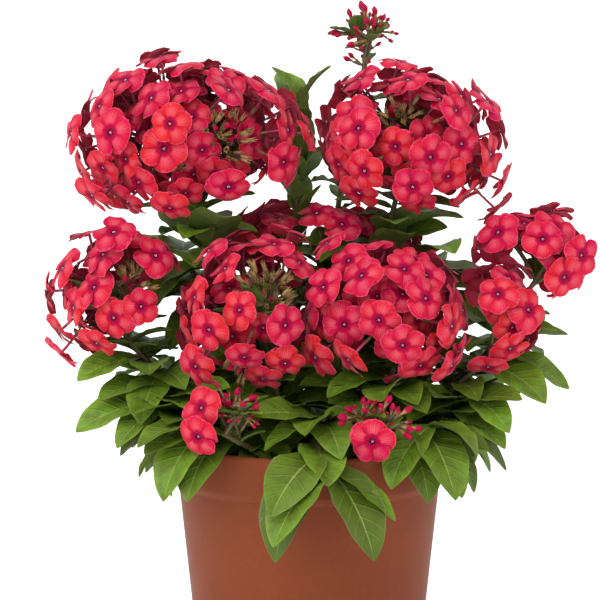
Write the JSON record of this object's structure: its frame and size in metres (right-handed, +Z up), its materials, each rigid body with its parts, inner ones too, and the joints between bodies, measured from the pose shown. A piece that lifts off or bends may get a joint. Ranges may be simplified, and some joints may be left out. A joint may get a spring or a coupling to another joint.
{
  "type": "potted phlox plant",
  "caption": "Bushy garden phlox with domed heads of coral-red five-petalled florets over lance-shaped leaves, growing in a round plastic nursery pot.",
  "frame": {"origin": "centre of the pot's underside, on the plane it stands on", "axes": "+Z up, -Y towards the side the plant is shown from, +X to the right of that side"},
  "size_m": [0.3327, 0.2312, 0.3907],
  "materials": {
    "pot": "smooth, faintly satin terracotta-brown plastic",
    "potting_mix": "damp dark crumbs of bark and peat",
    "foliage": "soft sheen, mid to dark green with pale midribs",
    "florets": "velvety coral red with a magenta eye",
    "buds": "soft deep magenta-pink"
  },
  "bodies": {
    "root": {"pot": "pot", "potting_mix": "potting_mix", "head_upper_left": "florets", "head_upper_right": "florets", "head_front_right": "florets", "head_low_right": "florets", "head_front_left": "florets", "head_left": "florets", "head_right": "florets", "head_middle": "florets", "bud_head_top": "buds", "bud_head_front": "buds", "bud_head_front_left": "buds", "shoot_front_left": "foliage", "shoot_left": "foliage", "shoot_front": "foliage", "shoot_centre": "foliage", "shoot_front_right": "foliage", "shoot_right": "foliage", "shoot_back_right": "foliage", "shoot_back_left": "foliage", "shoot_middle_right": "foliage", "shoot_middle_left": "foliage", "stem_bud_front": "foliage", "stem_bud_front_left": "foliage", "stem_upper_left": "foliage", "stem_upper_right": "foliage", "stem_front_left": "foliage", "stem_front_right": "foliage", "stem_left": "foliage", "stem_right": "foliage", "stem_low_right": "foliage", "stem_middle": "foliage", "stem_top": "foliage", "shoot_top": "foliage"}
  },
  "joints": []
}
